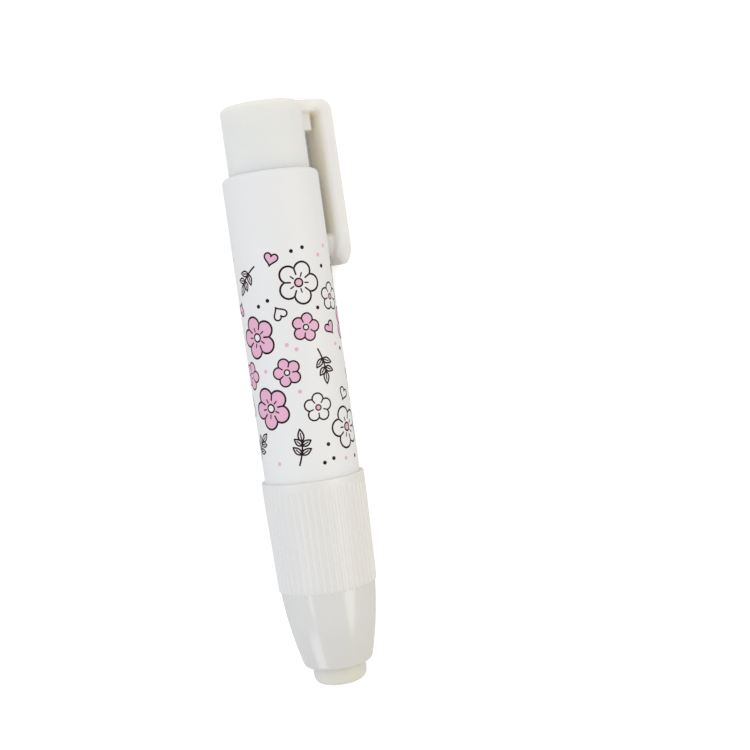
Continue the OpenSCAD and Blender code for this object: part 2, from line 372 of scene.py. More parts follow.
def make_cap():
    """Satin white with painted light: paler and warmer in its hollows, plus painted shade on the clip side and its free
    end.
    """
    m = moulded("cap_white", (0.826, 0.806, 0.778), 0.58, spread=0.008, sss=0.6, sss_scale=0.0035,
                sss_radius=(1.0, 0.72, 0.45), grain=0.3, grain_depth=0.000006, Specular_IOR_Level=0.3)
    ao = m.new("ShaderNodeAmbientOcclusion")
    ao.samples = 8
    ao.inputs["Distance"].default_value = 0.012
    plain = m.bsdf.inputs["Base Color"].links[0].from_socket
    # painted shade: the clip, out on the +X side, is made a trace greyer and cooler than the button
    painted_side_tint = m.ramp(m.across(14.0), [(0.90, (1, 1, 1)), (0.95, (0.955, 0.972, 1.0))])
    # painted light: above the foot, the base colour turns paler and warmer where ambient occlusion is deep, standing in
    # for light the plastic scatters
    painted_hollow_light = m.math("MULTIPLY", m.remap(ao.outputs["AO"], 0.17, 0.68, 1.0, 0.0), m.remap(m.axial(), 93.4, 94.8, 0.0, 1.0))
    # painted shade: the clip darkens towards its free end, where its rounded end turns away from the light
    painted_end_shade = m.ramp(m.remap(m.axial(), 86.0, 95.0, 0.0, 1.0), [(0.10, (0.93, 0.935, 0.94)), (0.50, (0.95, 0.955, 0.96)), (0.9, (1, 1, 1))])
    base_with_painted_light = m.mix(painted_hollow_light, plain, (0.94, 0.90, 0.81))
    m.set(Base_Color=m.mix(1.0, m.mix(1.0, base_with_painted_light, painted_side_tint, "MULTIPLY"), painted_end_shade, "MULTIPLY"))
    return m.mat


cap_white = make_cap()
inner_plastic = moulded("inner_plastic", (0.74, 0.74, 0.71), 0.34, spread=0.02, sss=0.1).mat
clutch_plastic = moulded("clutch_plastic", (0.42, 0.56, 0.66), 0.36, spread=0.03).mat


def make_rubber():
    m = Nodes("ring_rubber")
    m.set(Base_Color=m.ramp(m.noise(900, 4), [(0.3, (0.075, 0.075, 0.078)), (0.7, (0.12, 0.12, 0.122))]))
    m.set(Roughness=m.remap(m.noise(400, 3), 0.3, 0.7, 0.62, 0.82))
    m.set(Normal=m.bump(m.noise(2600, 3), 1.0, 0.000012), IOR=1.5)
    return m.mat


def make_steel():
    m = Nodes("spring_steel")
    m.set(Base_Color=m.ramp(m.noise(1500, 3, stretch=(1, 4, 1)), [(0.3, (0.50, 0.51, 0.53)), (0.7, (0.62, 0.63, 0.65))]))
    m.set(Roughness=m.remap(m.noise(2200, 3), 0.3, 0.7, 0.2, 0.34))
    m.set(Metallic=1.0)
    return m.mat


def make_vinyl():
    """Soft eraser vinyl: chalky, a little see-through, with a rubbed and faintly smudged tip."""
    m = Nodes("eraser_vinyl")
    body = m.ramp(m.noise(140, 3), [(0.3, (0.683, 0.677, 0.602)), (0.7, (0.700, 0.695, 0.624))])
    # painted light: a tint bluer on the -X side and warmer towards the +X side
    body = m.mix(1.0, body, m.ramp(m.across(5.6), [(0.0, (1.0, 1.01, 1.07)), (0.75, (1.0, 0.99, 0.945)), (1.0, (1.0, 1.0, 1.0))]),
                 "MULTIPLY")
    tip = m.remap(m.axial(), 0.2, 3.2, 1.0, 0.0)
    smear = m.remap(m.noise(420, 4, 0.6, stretch=(1.0, 0.4, 1.0)), 0.5, 0.8, 0.0, 0.35)
    m.set(Base_Color=m.mix(m.math("MULTIPLY", tip, smear), body, (0.56, 0.555, 0.52)))
    m.set(Roughness=m.remap(m.noise(700, 3), 0.3, 0.7, 0.55, 0.72))
    crumb = m.bump(m.noise(3200, 3), 1.0, 0.000008)
    m.set(Normal=m.bump(m.noise(500, 3), 1.0, 0.00002, crumb))
    m.set(IOR=1.45, Subsurface_Weight=0.3, Subsurface_Scale=0.002, Subsurface_Radius=(1.0, 0.9, 0.7))
    return m.mat


def make_ink(name, base, rough=0.42, spread=0.04, specular=0.36):
    """Printed ink, a little uneven in density."""
    m = Nodes(name)
    m.set(Base_Color=m.ramp(m.noise(700, 4, 0.6), [(0.3, tint(base, 1 - spread)), (0.7, tint(base, 1 + spread))]))
    m.set(Roughness=m.remap(m.noise(300, 3), 0.3, 0.7, rough - 0.04, rough + 0.05))
    m.set(Normal=m.bump(m.noise(1800, 2), 1.0, 0.000003), IOR=1.5, Specular_IOR_Level=specular)
    return m.mat


ring_rubber, spring_steel, eraser_vinyl = make_rubber(), make_steel(), make_vinyl()
ink_dark = make_ink("ink_dark", (0.022, 0.004, 0.008), 0.42, 0.12, 0.10)
ink_pink = make_ink("ink_pink", (0.758, 0.428, 0.590), 0.42, 0.02)


# ------------------------------------------------------------------ the printed sheet of the barrel
BARREL_R = 10.0
SHEET_S0, SHEET_S1 = 45.6, 93.4
SHEET_W = 2 * math.pi * BARREL_R
COLUMNS = 192


def ring_points(cx, cy, rad, n=20, a0=0.0, a1=2 * math.pi, close=True):
    k = n if close else n + 1
    return [(cx + rad * math.cos(a0 + (a1 - a0) * i / n), cy + rad * math.sin(a0 + (a1 - a0) * i / n)) for i in range(k)]


def bezier(p0, p1, p2, n=12):
    out = []
    for i in range(n + 1):
        t = i / n
        out.append(tuple((1 - t) ** 2 * a + 2 * t * (1 - t) * b + t * t * c for a, b, c in zip(p0, p1, p2)))
    return out


class Print:
    """Fills and lines of the print, laid out flat: u round the barrel, s along it, in millimetres."""

    def __init__(self):
        self.items = []  # (kind, points, closed, width, ink), painted in order

    def fill(self, pts, ink):
        self.items.append(("fill", pts, True, 0.0, ink))

    def stroke(self, pts, closed, width, ink=1):
        self.items.append(("line", pts, closed, width, ink))


def moved(pts, at, turn, size=1.0):
    c, s = math.cos(turn), math.sin(turn)
    return [(at[0] + size * (x * c - y * s), at[1] + size * (x * s + y * c)) for x, y in pts]


def blossom(pr, at, size, turn, rng, filled):
    """Five round petals with short veins and a ring in the middle."""
    outline, cusps, d = [], [], 0.60
    for k in range(5):
        rho = 0.40 * (1 + rng.uniform(-0.03, 0.03))
        mid = 2 * math.pi * k / 5
        cosd, sind = math.cos(math.pi / 5), math.sin(math.pi / 5)
        t = d * cosd + math.sqrt(0.40 ** 2 - (d * sind) ** 2)
        cusp = (t * math.cos(mid + math.pi / 5), t * math.sin(mid + math.pi / 5))
        ccx, ccy = d * math.cos(mid), d * math.sin(mid)
        a1 = math.atan2(cusp[1] - ccy, cusp[0] - ccx)
        c0 = (t * math.cos(mid - math.pi / 5), t * math.sin(mid - math.pi / 5))
        a0 = math.atan2(c0[1] - ccy, c0[0] - ccx)
        while a1 < a0:
            a1 += 2 * math.pi
        pts = []
        for i in range(15):
            a = a0 + (a1 - a0) * i / 14
            bulge = 0.40 + (rho - 0.40) * math.sin(math.pi * i / 14)
            pts.append((ccx + bulge * math.cos(a), ccy + bulge * math.sin(a)))
        outline += pts[:-1]
        cusps.append(cusp)
    shape = moved(outline, at, turn, size)
    if filled:
        pr.fill(shape, 2)
    w = 0.42 if size > 3.4 else 0.34
    pr.stroke(shape, True, w)
    for cx, cy in cusps:
        k = 0.40 / math.hypot(cx, cy)
        pr.stroke(moved([(cx, cy), (cx * k, cy * k)], at, turn, size), False, w * 0.85)
    middle = moved(ring_points(0, 0, 0.19, 18), at, turn, size)
    pr.fill(middle, 0 if filled else 2)
    pr.stroke(middle, True, w * 0.85)
    if size > 3.4:
        for k in range(5):
            a = 2 * math.pi * k / 5
            pr.stroke(moved([(0.30 * math.cos(a), 0.30 * math.sin(a)), (0.47 * math.cos(a), 0.47 * math.sin(a))],
                            at, turn, size), False, w * 0.7)


def leaf(pr, at, turn, length, width, filled, w=0.34):
    side = [(length * i / 12, width * 0.5 * math.sin(math.pi * (i / 12) ** 0.85)) for i in range(13)]
    loop = side + [(x, -y) for x, y in side[-2:0:-1]]
    shape = moved(loop, at, turn)
    if filled:
        pr.fill(shape, 2)
    pr.stroke(shape, True, w)
    pr.stroke(moved([(0.12 * length, 0), (0.66 * length, 0)], at, turn), False, w * 0.8)


def sprig(pr, at, size, turn, rng, filled):
    """A bent stem with two pairs of leaves and one at its end."""
    bend = rng.choice((-1, 1)) * 0.18
    stem = bezier((-1.0, 0), (-0.2, bend), (0.30, bend * 0.4), 10)
    pr.stroke(moved(stem, at, turn, size), False, 0.36)
    for k, (ix, spread, ln) in enumerate(((4, 1, 0.62), (4, -1, 0.62), (8, 1, 0.56), (8, -1, 0.56))):
        x, y = stem[ix]
        base = moved([(x, y)], at, turn, size)[0]
        leaf(pr, base, turn + spread * 0.95, ln * size, 0.30 * size, filled and k % 2 == 0)
    base = moved([stem[-1]], at, turn, size)[0]
    leaf(pr, base, turn - bend * 1.2, 0.70 * size, 0.32 * size, filled)


def heart(pr, at, size, turn, filled):
    pts = []
    for i in range(36):
        t = 2 * math.pi * i / 36
        pts.append((16 * math.sin(t) ** 3 / 17,
                    (13 * math.cos(t) - 5 * math.cos(2 * t) - 2 * math.cos(3 * t) - math.cos(4 * t)) / 17))
    shape = moved(pts, at, turn, size)
    if filled:
        pr.fill(shape, 2)
    pr.stroke(shape, True, 0.34)


def lay_out():
    """Tossed blossoms, sprigs, hearts and dots, spread evenly and clear of the sheet's seam."""
    rng = random.Random(41)
    pr, placed = Print(), []
    lo_s, hi_s = SHEET_S0 + 1.6, SHEET_S1 - 1.6

    def spot(rad, gap, tries):
        best, found = -1.0, None
        for _ in range(tries):
            u = rng.uniform(rad + 0.5, SHEET_W - rad - 0.5)
            s = rng.uniform(lo_s + rad, hi_s - rad)
            room = min([math.hypot(u - a, s - b) - r - rad for a, b, r in placed] + [6.0])
            if room > gap and room > best:
                best, found = room, (u, s)
        if found:
            placed.append((found[0], found[1], rad))
        return found

    kinds = [("bloom", 4.5, 9), ("sprig", 4.1, 9), ("bloom", 3.0, 12), ("sprig", 2.9, 7), ("heart", 1.5, 20), ("dot", 0.42, 46)]
    for kind, rad, count in kinds:
        for i in range(count):
            at = spot(rad, 0.55 if rad > 2 else 0.8, 500)
            if not at:
                break
            turn = rng.uniform(0, 2 * math.pi)
            if kind == "bloom":
                blossom(pr, at, rad * 0.97, turn, rng, i % 2 == 0)
            elif kind == "sprig":
                sprig(pr, at, rad * 0.90, turn, rng, False)
            elif kind == "heart":
                heart(pr, at, rad, rng.uniform(-0.6, 0.6) + (math.pi if i % 3 == 0 else 0), i % 2 == 0)
            else:
                pr.fill(ring_points(at[0], at[1], rad, 14), 1 if i % 2 else 2)
    return pr


def offset_loops(pts, closed, half):
    """Both sides of a line of round corners and ends, as loops and chains for the sheet's edges."""
    p = np.array(pts, float)
    n = len(p)
    nxt = np.roll(p, -1, 0) if closed else np.vstack([p[1:], 2 * p[-1] - p[-2]])
    prv = np.roll(p, 1, 0) if closed else np.vstack([2 * p[0] - p[1], p[:-1]])
    d1 = (p - prv) / np.linalg.norm(p - prv, axis=1, keepdims=True)
    d2 = (nxt - p) / np.linalg.norm(nxt - p, axis=1, keepdims=True)
    t = d1 + d2
    t /= np.maximum(np.linalg.norm(t, axis=1, keepdims=True), 1e-9)
    nrm = np.stack([-t[:, 1], t[:, 0]], 1)
    turn = (d1 * d2).sum(1)
    chains = [(p + nrm * half, closed), (p - nrm * half, closed)]
    for i in range(n):
        if turn[i] < 0.80 or (not closed and i in (0, n - 1)):
            chains.append((np.array(ring_points(p[i, 0], p[i, 1], half * 0.9995, 14)), True))
    return chains


def near_line(c, pts, closed):
    p = np.array(pts, float)
    q = np.roll(p, -1, 0) if closed else p[1:]
    p = p if closed else p[:-1]
    best = np.full(len(c), 1e9)
    for a, b in zip(p, q):
        ab = b - a
        t = np.clip(((c - a) @ ab) / max(ab @ ab, 1e-12), 0, 1)
        best = np.minimum(best, np.linalg.norm(c - a - t[:, None] * ab, axis=1))
    return best


def inside(c, pts):
    p = np.array(pts, float)
    q = np.roll(p, -1, 0)
    hit = np.zeros(len(c), bool)
    for a, b in zip(p, q):
        cross = (a[1] > c[:, 1]) != (b[1] > c[:, 1])
        x = a[0] + (c[:, 1] - a[1]) / (b[1] - a[1] if b[1] != a[1] else 1e-12) * (b[0] - a[0])
        hit ^= cross & (c[:, 0] < x)
    return hit


def printed_sheet():
    """The flat sheet cut along the print and the barrel's columns: points, triangles and an ink for each triangle."""
    pr = lay_out()
    pts, edges = [], []

    def chain(p, closed):
        k = len(pts)
        pts.extend([tuple(x) for x in p])
        edges.extend([(k + i, k + i + 1) for i in range(len(p) - 1)])
        if closed:
            edges.append((k + len(p) - 1, k))

    for i in range(COLUMNS + 1):
        u = SHEET_W * i / COLUMNS
        chain([(u, SHEET_S0), (u, SHEET_S1)], False)
    for s in (SHEET_S0, SHEET_S1):
        chain([(0, s), (SHEET_W, s)], False)
    for kind, p, closed, width, _ in pr.items:
        if kind == "fill":
            chain(p, True)
        else:
            for q, shut in offset_loops(p, closed, width / 2):
                chain(q, shut)
    out = delaunay_2d_cdt([Vector(p) for p in pts], edges, [], 0, 1e-5, False)
    v = np.array([tuple(x) for x in out[0]])
    tri = np.array([f for f in out[2] if len(f) == 3])
    a, b, c = v[tri[:, 0]], v[tri[:, 1]], v[tri[:, 2]]
    area = (b[:, 0] - a[:, 0]) * (c[:, 1] - a[:, 1]) - (b[:, 1] - a[:, 1]) * (c[:, 0] - a[:, 0])
    tri = np.where(area[:, None] < 0, tri[:, ::-1], tri)[np.abs(area) > 1e-9]
    mid = v[tri].mean(1)
    ink = np.zeros(len(tri), int)
    for kind, p, closed, width, colour in pr.items:
        q = np.array(p, float)
        lo, hi = q.min(0) - width, q.max(0) + width
        sel = np.nonzero(((mid > lo) & (mid < hi)).all(1))[0]
        if not len(sel):
            continue
        hit = inside(mid[sel], p) if kind == "fill" else near_line(mid[sel], p, closed) < width / 2
        ink[sel[hit]] = colour
    return v, tri, ink


def build_barrel():
    soup = Soup()
    v, tri, ink = printed_sheet()
    # wrap the sheet round the barrel
    u, s = v[:, 0], v[:, 1]
    phi = u / BARREL_R + math.pi
    pos = place(BARREL_R, phi, s)
    nor = facing(1.0, phi, 0.0)
    soup.faces(pos[tri], np.broadcast_to(nor, pos.shape)[tri], ink)
    phis = turns(COLUMNS, math.pi)
    soup.lathe([
        line((8.9, 44.2), (9.96, 44.2)),
        arc((9.96, 44.24), 0.04, -90, 0, 3),
        line((10, 44.24), (10, SHEET_S0)),
        line((10, SHEET_S1), (10, 106.4)),
        arc((8.8, 106.4), 1.2, 0, 88, 12),
    ], phis)
    a = math.radians(88)
    top = (8.8 + 1.2 * math.cos(a), 106.4 + 1.2 * math.sin(a))
    soup.lathe([
        line(top, (8.7, 107.43)),
        line((8.7, 107.43), (8.7, 56.3)),
        line((8.7, 56.3), (8.9, 56.3)),
        line((8.9, 56.3), (8.9, 44.2)),
    ], phis)
    ob = soup.mesh("barrel_tube", [barrel_white, ink_dark, ink_pink])
    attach(ob, "barrel")
    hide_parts("barrel")
    return ob


# ------------------------------------------------------------------ grip, ribs and nose
RIBS = 46
RIB_PHASE = -math.radians(0.764)
RIB_TOP_FRONT, RIB_TOP_REAR = 10.43, 10.78
FLANK_C, FLANK_R = (10.15 - 80.0, 26.3), 80.0
ROOT_FRONT = FLANK_C[0] + math.sqrt(FLANK_R ** 2 - (FLANK_C[1] - 24.9) ** 2)
ROOT_REAR = 10.60
NOSE_S, RIM_ROUND = 4.45, 1.05
RIB_END = 42.9


def smooth(t):
    t = np.clip(t, 0, 1)
    return t * t * (3 - 2 * t)


def grip_radius(phi, s):
    flank = FLANK_C[0] + np.sqrt(FLANK_R ** 2 - (FLANK_C[1] - s) ** 2)
    back = ROOT_FRONT + (s - 24.9) * (ROOT_REAR - ROOT_FRONT) / (RIB_END - 24.9)
    root = np.where(s < 24.9, flank, np.minimum(back, ROOT_REAR))
    top = np.minimum(RIB_TOP_FRONT + (s - 24.9) * (RIB_TOP_REAR - RIB_TOP_FRONT) / (40.0 - 24.9), RIB_TOP_REAR)
    pitch = 2 * math.pi / RIBS
    off = (np.mod(phi - RIB_PHASE + pitch / 2, pitch) - pitch / 2) * 10.4
    front = 21.35
    d = np.hypot(off, np.minimum(s - front, 0.0))
    mask = 0.5 + 0.5 * np.cos(math.pi * np.clip((d - 0.10) / 0.36, 0, 1))
    r = root + (top - root) * mask
    return r + (COLLAR_R - r) * smooth((s - 41.5) / 1.9)


def build_grip():
    soup = Soup()
    offs = np.array([-0.60, -0.48, -0.41, -0.35, -0.29, -0.23, -0.16, -0.08, 0, 0.08, 0.16, 0.23, 0.29, 0.35, 0.41, 0.48, 0.60])
    half = math.pi / RIBS * 10.4
    one = np.concatenate([[-half], offs])
    phis = np.concatenate([RIB_PHASE + 2 * math.pi * i / RIBS + one / 10.4 for i in range(RIBS)])
    mid_s = NOSE_S + RIM_ROUND
    f0 = math.degrees(math.asin((mid_s - FLANK_C[1]) / (FLANK_R - RIM_ROUND)))
    rim = (FLANK_C[0] + (FLANK_R - RIM_ROUND) * math.cos(math.radians(f0)), mid_s)
    f1 = math.degrees(math.asin((20.3 - FLANK_C[1]) / FLANK_R))
    soup.lathe([
        line((5.85, 6.4), (5.85, NOSE_S + 0.12)),
        arc((5.97, NOSE_S + 0.12), 0.12, 180, 270, 3),
        line((5.97, NOSE_S), (rim[0], NOSE_S)),
        arc(rim, RIM_ROUND, -90, f0, 12),
        arc(FLANK_C, FLANK_R, f0, f1, 24),
    ], phis, 0)
    stations = np.concatenate([
        np.linspace(20.3, 20.8, 4), np.arange(20.87, 21.9, 0.07), [22.2, 22.8, 23.4, 24, 24.9, 26, 28.5, 31, 33.5, 36, 38.5, 40.0],
        [41.0], np.arange(41.5, 43.5, 0.19), [44.04]])

    def at(phi, s):
        return place(grip_radius(phi, s), phi, s)

    pp, ss = np.meshgrid(phis, stations)
    e = 1e-4
    along = at(pp, ss + e) - at(pp, ss - e)
    around = at(pp + e / 10, ss) - at(pp - e / 10, ss)
    nor = np.cross(around, along)
    nor /= np.linalg.norm(nor, axis=-1, keepdims=True)
    nor[0] = facing(math.cos(math.radians(f1)), phis, math.sin(math.radians(f1)))
    nor[-1] = facing(1.0, phis, 0.0)
    pos = at(pp, ss)
    ra = FLANK_C[0] + FLANK_R * math.cos(math.radians(f1))
    pos[0] = place(ra, phis, 20.3)
    soup.grid(pos, nor, 0)
    soup.lathe([
        arc((COLLAR_R - 0.16, 44.04), 0.16, 0, 90, 6),
        line((COLLAR_R - 0.16, 44.2), (9.0, 44.2)),
        line((9.0, 44.2), (9.0, 20.5)),
        line((9.0, 20.5), (8.4, 20.5)),
        line((8.4, 20.5), (8.4, 14.7)),
        line((8.4, 14.7), (7.5, 14.7)),
        line((7.5, 14.7), (7.5, 8.4)),
        line((7.5, 8.4), (7.0, 8.4)),
        line((7.0, 8.4), (7.0, 6.4)),
        line((7.0, 6.4), (5.85, 6.4)),
    ], phis, 0)
    ob = soup.mesh("ribbed_grip", [grip_white])
    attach(ob, "barrel")
    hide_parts("grip_nose")
    return ob


# ------------------------------------------------------------------ push cap with its clip
def clip_frame():
    """From the clip's own millimetres, x towards the clip, y across it, s along the holder, to the row frame."""
    sn, cs = math.sin(CLIP), math.cos(CLIP)
    return Matrix(((sn * MM, cs * MM, 0, AX * MM), (0, 0, MM, -MID * MM), (cs * MM, -sn * MM, 0, AZ * MM), (0, 0, 0, 1)))


def rounded(corners, seg=7):
    """Outline through corners (x, s, radius), anticlockwise, as points and outward normals.

    A sharp corner names the direction in which the rounding of the side edges moves it; a share
    of that rounding may follow the radius.
    """
    n, pts, nrm = len(corners), [], []
    for i, corner in enumerate(corners):
        x, y, r = corner[:3]
        share = corner[3] if len(corner) > 3 and r > 0 else 1.0
        p = np.array((x, y), float)
        a = np.array(corners[i - 1][:2], float) - p
        b = np.array(corners[(i + 1) % n][:2], float) - p
        a /= np.linalg.norm(a)
        b /= np.linalg.norm(b)
        if r <= 0:
            pts.append(p)
            nrm.append(np.array(corner[3], float))
            continue
        half = math.acos(np.clip(a @ b, -1, 1)) / 2
        t = r / math.tan(half)
        bis = (a + b) / np.linalg.norm(a + b)
        c = p + bis * r / math.sin(half)
        cross = (-a)[0] * b[1] - (-a)[1] * b[0]
        n0 = np.array((-a[1], a[0]))
        n0 = (p + a * t - c) / r
        n1 = (p + b * t - c) / r
        a0, a1 = math.atan2(n0[1], n0[0]), math.atan2(n1[1], n1[0])
        sweep = (a1 - a0 + math.pi) % (2 * math.pi) - math.pi
        for k in range(seg + 1):
            ang = a0 + sweep * k / seg
            d = np.array((math.cos(ang), math.sin(ang)))
            pts.append(c + d * r)
            nrm.append(d * (share if cross > 0 else -share))
    return np.array(pts), np.array(nrm)


def slab(name, corners, width, edge, layers=4, end_round=0.0):
    """A flat piece of the outline's shape with rounded side edges, closed by its two faces."""
    pts, nrm = rounded(corners)
    rows = []
    for sgn in (-1, 1):
        angs = np.linspace(90, 0, layers + 1) if sgn < 0 else np.linspace(0, 90, layers + 1)
        for a in np.radians(angs):
            rows.append((edge * (1 - math.cos(a)), sgn * (width / 2 - edge * (1 - math.sin(a)))))
    verts, n = [], len(pts)
    for inset, y in rows:
        q = pts - nrm * inset
        if end_round:
            # seen from outside, the free end has round corners
            past = max(abs(y) - (width / 2 - end_round), 0)
            q[:, 1] += (end_round - math.sqrt(end_round ** 2 - past ** 2)) * np.clip((93 - q[:, 1]) / 4, 0, 1)
        verts.append(np.stack([q[:, 0], np.full(n, y), q[:, 1]], 1))
    v = np.concatenate(verts)
    faces = []
    for i in range(len(rows) - 1):
        for j in range(n):
            k = (j + 1) % n
            faces.append([i * n + j, i * n + k, (i + 1) * n + k, (i + 1) * n + j])
    faces.append(list(range(n))[::-1])
    faces.append([(len(rows) - 1) * n + j for j in range(n)])
    return solid(name, v, faces)


def solid(name, v, faces):
    me = bpy.data.meshes.new(name)
    me.from_pydata(np.asarray(v).tolist(), [], faces)
    ob = bpy.data.objects.new(name, me)
    bpy.context.scene.collection.objects.link(ob)
    bm = bmesh.new()
    bm.from_mesh(me)
    bmesh.ops.remove_doubles(bm, verts=bm.verts, dist=1e-4)
    bmesh.ops.recalc_face_normals(bm, faces=bm.faces)
    if bm.calc_volume(signed=True) < 0:
        bmesh.ops.reverse_faces(bm, faces=bm.faces)
    bm.to_mesh(me)
    bm.free()
    return ob


def prism(name, outline, s0, s1):
    """A straight bar along the holder with the outline (x, y)."""
    n = len(outline)
    v = [(x, y, s) for s in (s0, s1) for x, y in outline]
    faces = [list(range(n))[::-1], [n + i for i in range(n)]]
    faces += [[i, (i + 1) % n, n + (i + 1) % n, n + i] for i in range(n)]
    return solid(name, v, faces)


def heap(obs):
    """One mesh from overlapping solids, which the melting then joins."""
    base = obs[0]
    bm = bmesh.new()
    for o in obs:
        bm.from_mesh(o.data)
    bm.to_mesh(base.data)
    bm.free()
    for o in obs[1:]:
        me = o.data
        bpy.data.objects.remove(o)
        bpy.data.meshes.remove(me)
    return base


def soften(ob, voxel, rounds, keep):
    """Melts a solid's inner corners into small hollows, then thins its mesh out."""
    m = ob.modifiers.new("skin", "REMESH")
    m.mode, m.voxel_size = "VOXEL", voxel
    m = ob.modifiers.new("melt", "SMOOTH")
    m.factor, m.iterations = 0.5, rounds
    m = ob.modifiers.new("thin", "DECIMATE")
    m.ratio = keep
    dg = bpy.context.evaluated_depsgraph_get()
    me = bpy.data.meshes.new_from_object(ob.evaluated_get(dg))
    ob.modifiers.clear()
    old, ob.data = ob.data, me
    bpy.data.meshes.remove(old)


def join_solids(base, others, operation="UNION"):
    for o in others:
        mod = base.modifiers.new("join", "BOOLEAN")
        mod.operation, mod.solver, mod.object = operation, "EXACT", o
    dg = bpy.context.evaluated_depsgraph_get()
    me = bpy.data.meshes.new_from_object(base.evaluated_get(dg))
    base.modifiers.clear()
    old, base.data = base.data, me
    bpy.data.meshes.remove(old)
    for o in others:
        bpy.data.objects.remove(o)
    return base


def drum(r, s0, s1, n=96):
    v = [(r * math.cos(2 * math.pi * i / n), r * math.sin(2 * math.pi * i / n), s) for s in (s0, s1) for i in range(n)]
    faces = [list(range(n))[::-1], [n + i for i in range(n)]]
    return v, faces + [[i, (i + 1) % n, n + (i + 1) % n, n + i] for i in range(n)]


CAP_S, CAP_ROUND = 121.8, 1.1
CLIP_END = 86.35


def build_clip():
    """Arm, bridge and foot with a piece of the cap's wall, all melted together at their inner corners."""
    arm = slab("arm", [
        (7.0, 121.7, 0, (0, 0.6)), (7.0, 119.6, 0, (0, -0.7)), (11.9, 119.6, 0.9, 0.7), (12.05, 94.5, 9.0),
        (11.6, 88.5, 1.6), (12.9, CLIP_END, 1.2, 0.9), (14.2, CLIP_END, 1.2, 0.9), (15.3, 88.5, 1.8), (CLIP_RO, 92.0, 6.0), (CLIP_RO - 0.25, TOP - 0.1, 2.6, 0.7), (9.6, TOP, 2.5, 0.6)],
        CLIP_W, CLIP_EDGE, 9, 3.75)
    foot = slab("foot", [(14.2, 94.5, 0, (0, 1)), (10.3, 93.9, 1.4), (10.3, 90.6, 3.0), (13.0, 87.4, 1.6), (14.2, 87.3, 0, (0, -1))], 4.2, 1.4, 8, 1.6)
    pad = prism("pad", [(7.0, -1.9), (10.1, -1.9), (10.9, -1.1), (10.9, 1.1), (10.1, 1.9), (7.0, 1.9)], 115.9, 120.0)
    # the bridge flares into the cap's side
    flare = prism("flare", [(6.2, -5.35), (6.9, -4.85), (10.6, -3.45), (10.6, 3.45), (6.9, 4.85), (6.2, 5.35)], 119.6, CAP_S)
    a = np.radians(np.linspace(-62, 62, 63))
    wall = prism("wall", [(8.3 * math.cos(x), 8.3 * math.sin(x)) for x in a] + [(3.9, 5.2), (3.9, -5.2)], 113.0, CAP_S - 0.5)
    ob = heap([arm, foot, pad, flare, wall])
    soften(ob, 0.15, 16, 0.4)
    return ob


def build_cap():
    soup = Soup()
    phis = turns(160, CLIP)
    soup.lathe([
        line((7.3, 97), (8.0, 97)),
        arc((8.0, 97.4), 0.4, -90, 0, 5),
        line((8.4, 97.4), (8.4, CAP_S - CAP_ROUND), 6),
        arc((8.4 - CAP_ROUND, CAP_S - CAP_ROUND), CAP_ROUND, 0, 90, 14),
        line((8.4 - CAP_ROUND, CAP_S), (0.95, CAP_S), 2),
        line((0.95, CAP_S), (0.85, CAP_S - 0.1)),
        line((0.85, CAP_S - 0.1), (0, CAP_S - 0.1)),
        line((0, 120.3), (6.87, 120.3)),
        line((6.87, 120.3), (6.87, 115.5)),
        line((6.87, 115.5), (7.12, 115.5)),
        line((7.12, 115.5), (7.12, 113.6)),
        line((7.12, 113.6), (6.87, 113.6)),
        line((6.87, 113.6), (6.87, 110)),
        line((6.87, 110), (7.3, 110)),
        line((7.3, 110), (7.3, 97)),
    ], phis)
    button = soup.mesh("push_button", [cap_white], analytic=False)
    clip = build_clip()
    # the clip keeps only what lies outside the cap's wall
    core = solid("core", *drum(7.7, 100.0, 125.0))
    clip = join_solids(clip, [core], "DIFFERENCE")
    clip.matrix_world = clip_frame()
    bpy.context.view_layer.update()
    ob = join_solids(button, [clip])
    me = ob.data
    me.materials.clear()
    me.materials.append(cap_white)
    me.shade_smooth()
    me.set_sharp_from_angle(angle=math.radians(32))
    w = ob.modifiers.new("even", "WEIGHTED_NORMAL")
    w.keep_sharp = True
    w.weight = 80
    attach(ob, "push_cap")
    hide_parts("push_cap")
    return ob


# ------------------------------------------------------------------ eraser stick
def build_stick():
    soup = Soup()
    phis = turns(96)
    end = TIP + 78
    strips = [line((0, TIP), (3.7, TIP), 8), arc((3.7, TIP + 1.95), 1.95, -90, 0, 14)[1:],
              line((5.65, TIP + 1.95), (5.65, end - 0.4), 40)[1:], arc((5.25, end - 0.4), 0.4, 0, 90, 4)[1:],
              line((5.25, end), (0, end), 4)[1:]]
    a = np.vstack(strips)
    r, s = a[:, 0:1], a[:, 1:2]
    p = phis[None, :]
    # rubbing has flattened and waved the tip a little
    wear = smooth((5.0 - s) / 5.0) * np.minimum(r / 3.0, 1)
    dip = np.maximum(0.08 + 0.14 * smooth(-np.sin(p)) + 0.06 * np.sin(2 * p + 0.6) + 0.035 * np.sin(3 * p + 2.1) + 0.02 * np.sin(7 * p + s * 1.7), 0)
    pos = place(np.maximum(r - wear * dip, 0), p, s + wear * 0.5 * dip * (s < 1.2))
    soup.grid(pos, np.broadcast_to(facing(0, p, 1), pos.shape), 0)
    ob = soup.mesh("eraser_refill", [eraser_vinyl], analytic=False, angle=50)
    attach(ob, "eraser_stick")
    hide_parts("eraser_stick")
    return ob


